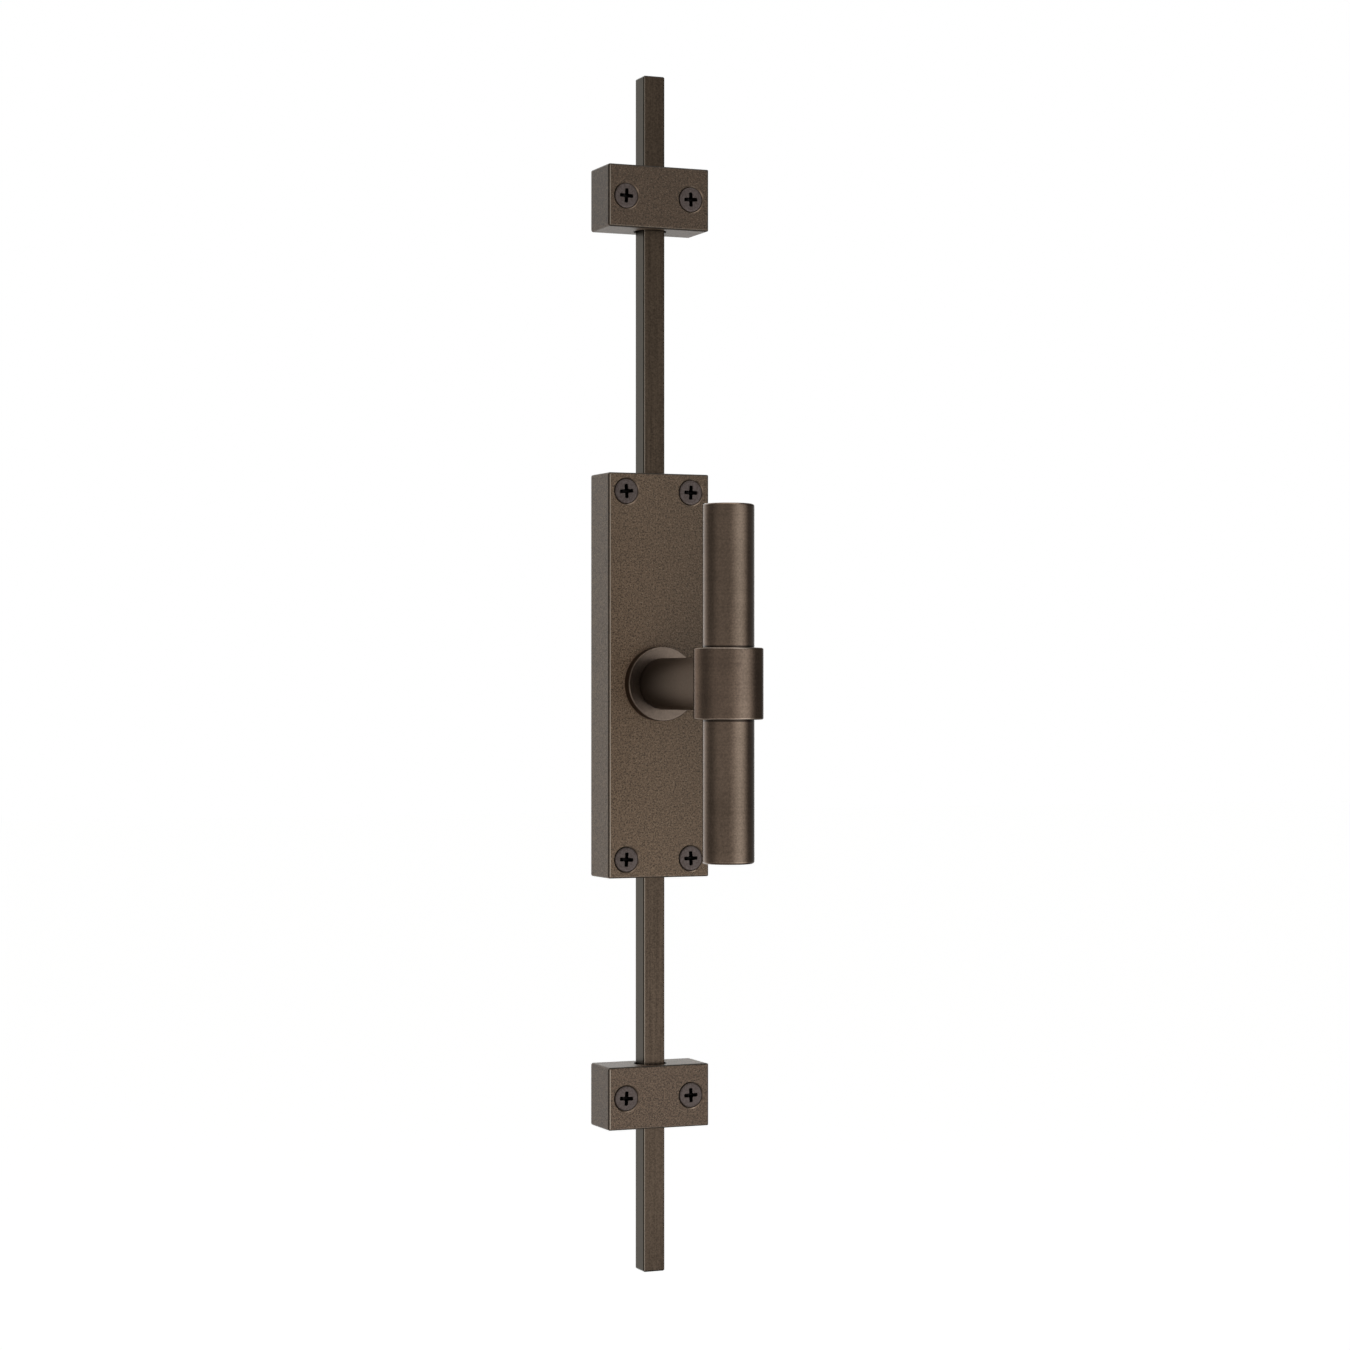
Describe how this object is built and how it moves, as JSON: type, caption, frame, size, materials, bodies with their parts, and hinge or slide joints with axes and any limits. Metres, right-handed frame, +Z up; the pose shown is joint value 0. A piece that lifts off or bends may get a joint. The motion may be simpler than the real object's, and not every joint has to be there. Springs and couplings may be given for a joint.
{
  "type": "cremone bolt",
  "caption": "Surface cremone bolt: T-handle on a rectangular case drives a pinion and racks that draw square rods through bored guide blocks, in dark bronze.",
  "frame": {"origin": "where the spindle's axis meets the door's face, on the back plate's outer face", "axes": "+Z up along the rods, +X to the right as seen from the front, +Y from the front into the door"},
  "size_m": [0.038, 0.1029, 0.4215],
  "materials": {
    "bronze_case": "satin dark bronze with a fine metallic speckle",
    "bronze_handle": "satin dark bronze, smooth",
    "bronze_rod": "satin dark bronze with a fine speckle",
    "bronze_screw": "satin grey-brown bronze",
    "steel": "machined steel",
    "brass": "machined brass"
  },
  "bodies": {
    "case": {"case": "bronze_case", "back_plate": "steel", "back_plate_screws": "steel", "collar": "bronze_handle", "thrust_washer": "brass", "spring_washer": "steel", "case_screws": "bronze_screw", "upper_guide": "bronze_case", "upper_guide_screws": "bronze_screw", "lower_guide": "bronze_case", "lower_guide_screws": "bronze_screw"},
    "handle": {"drive_spindle": "steel", "pinion": "steel", "handle_neck": "bronze_handle", "grip_ring": "bronze_handle", "grip_bar": "bronze_handle", "set_screw": "bronze_screw", "bar_screw": "steel"},
    "upper_rod": {"upper_rod": "bronze_rod", "upper_rack": "steel", "upper_rod_pin": "steel"},
    "lower_rod": {"lower_rod": "bronze_rod", "lower_rack": "steel", "lower_rod_pin": "steel"}
  },
  "joints": [
    {"name": "handle_turn", "type": "hinge", "parent": "case", "child": "handle", "pos_m": [0, -0.017, 0], "axis": [0, 1, 0], "range_deg": [0, 90]},
    {"name": "upper_rod_slide", "type": "slide", "parent": "case", "child": "upper_rod", "axis": [0, 0, 1], "range_m": [-0.01571, 0]},
    {"name": "lower_rod_slide", "type": "slide", "parent": "case", "child": "lower_rod", "axis": [0, 0, 1], "range_m": [0, 0.01571]}
  ],
  "couplings": [
    {"joint": "upper_rod_slide", "follows": "handle_turn", "m_per_rad": -0.01},
    {"joint": "lower_rod_slide", "follows": "handle_turn", "m_per_rad": 0.01}
  ]
}
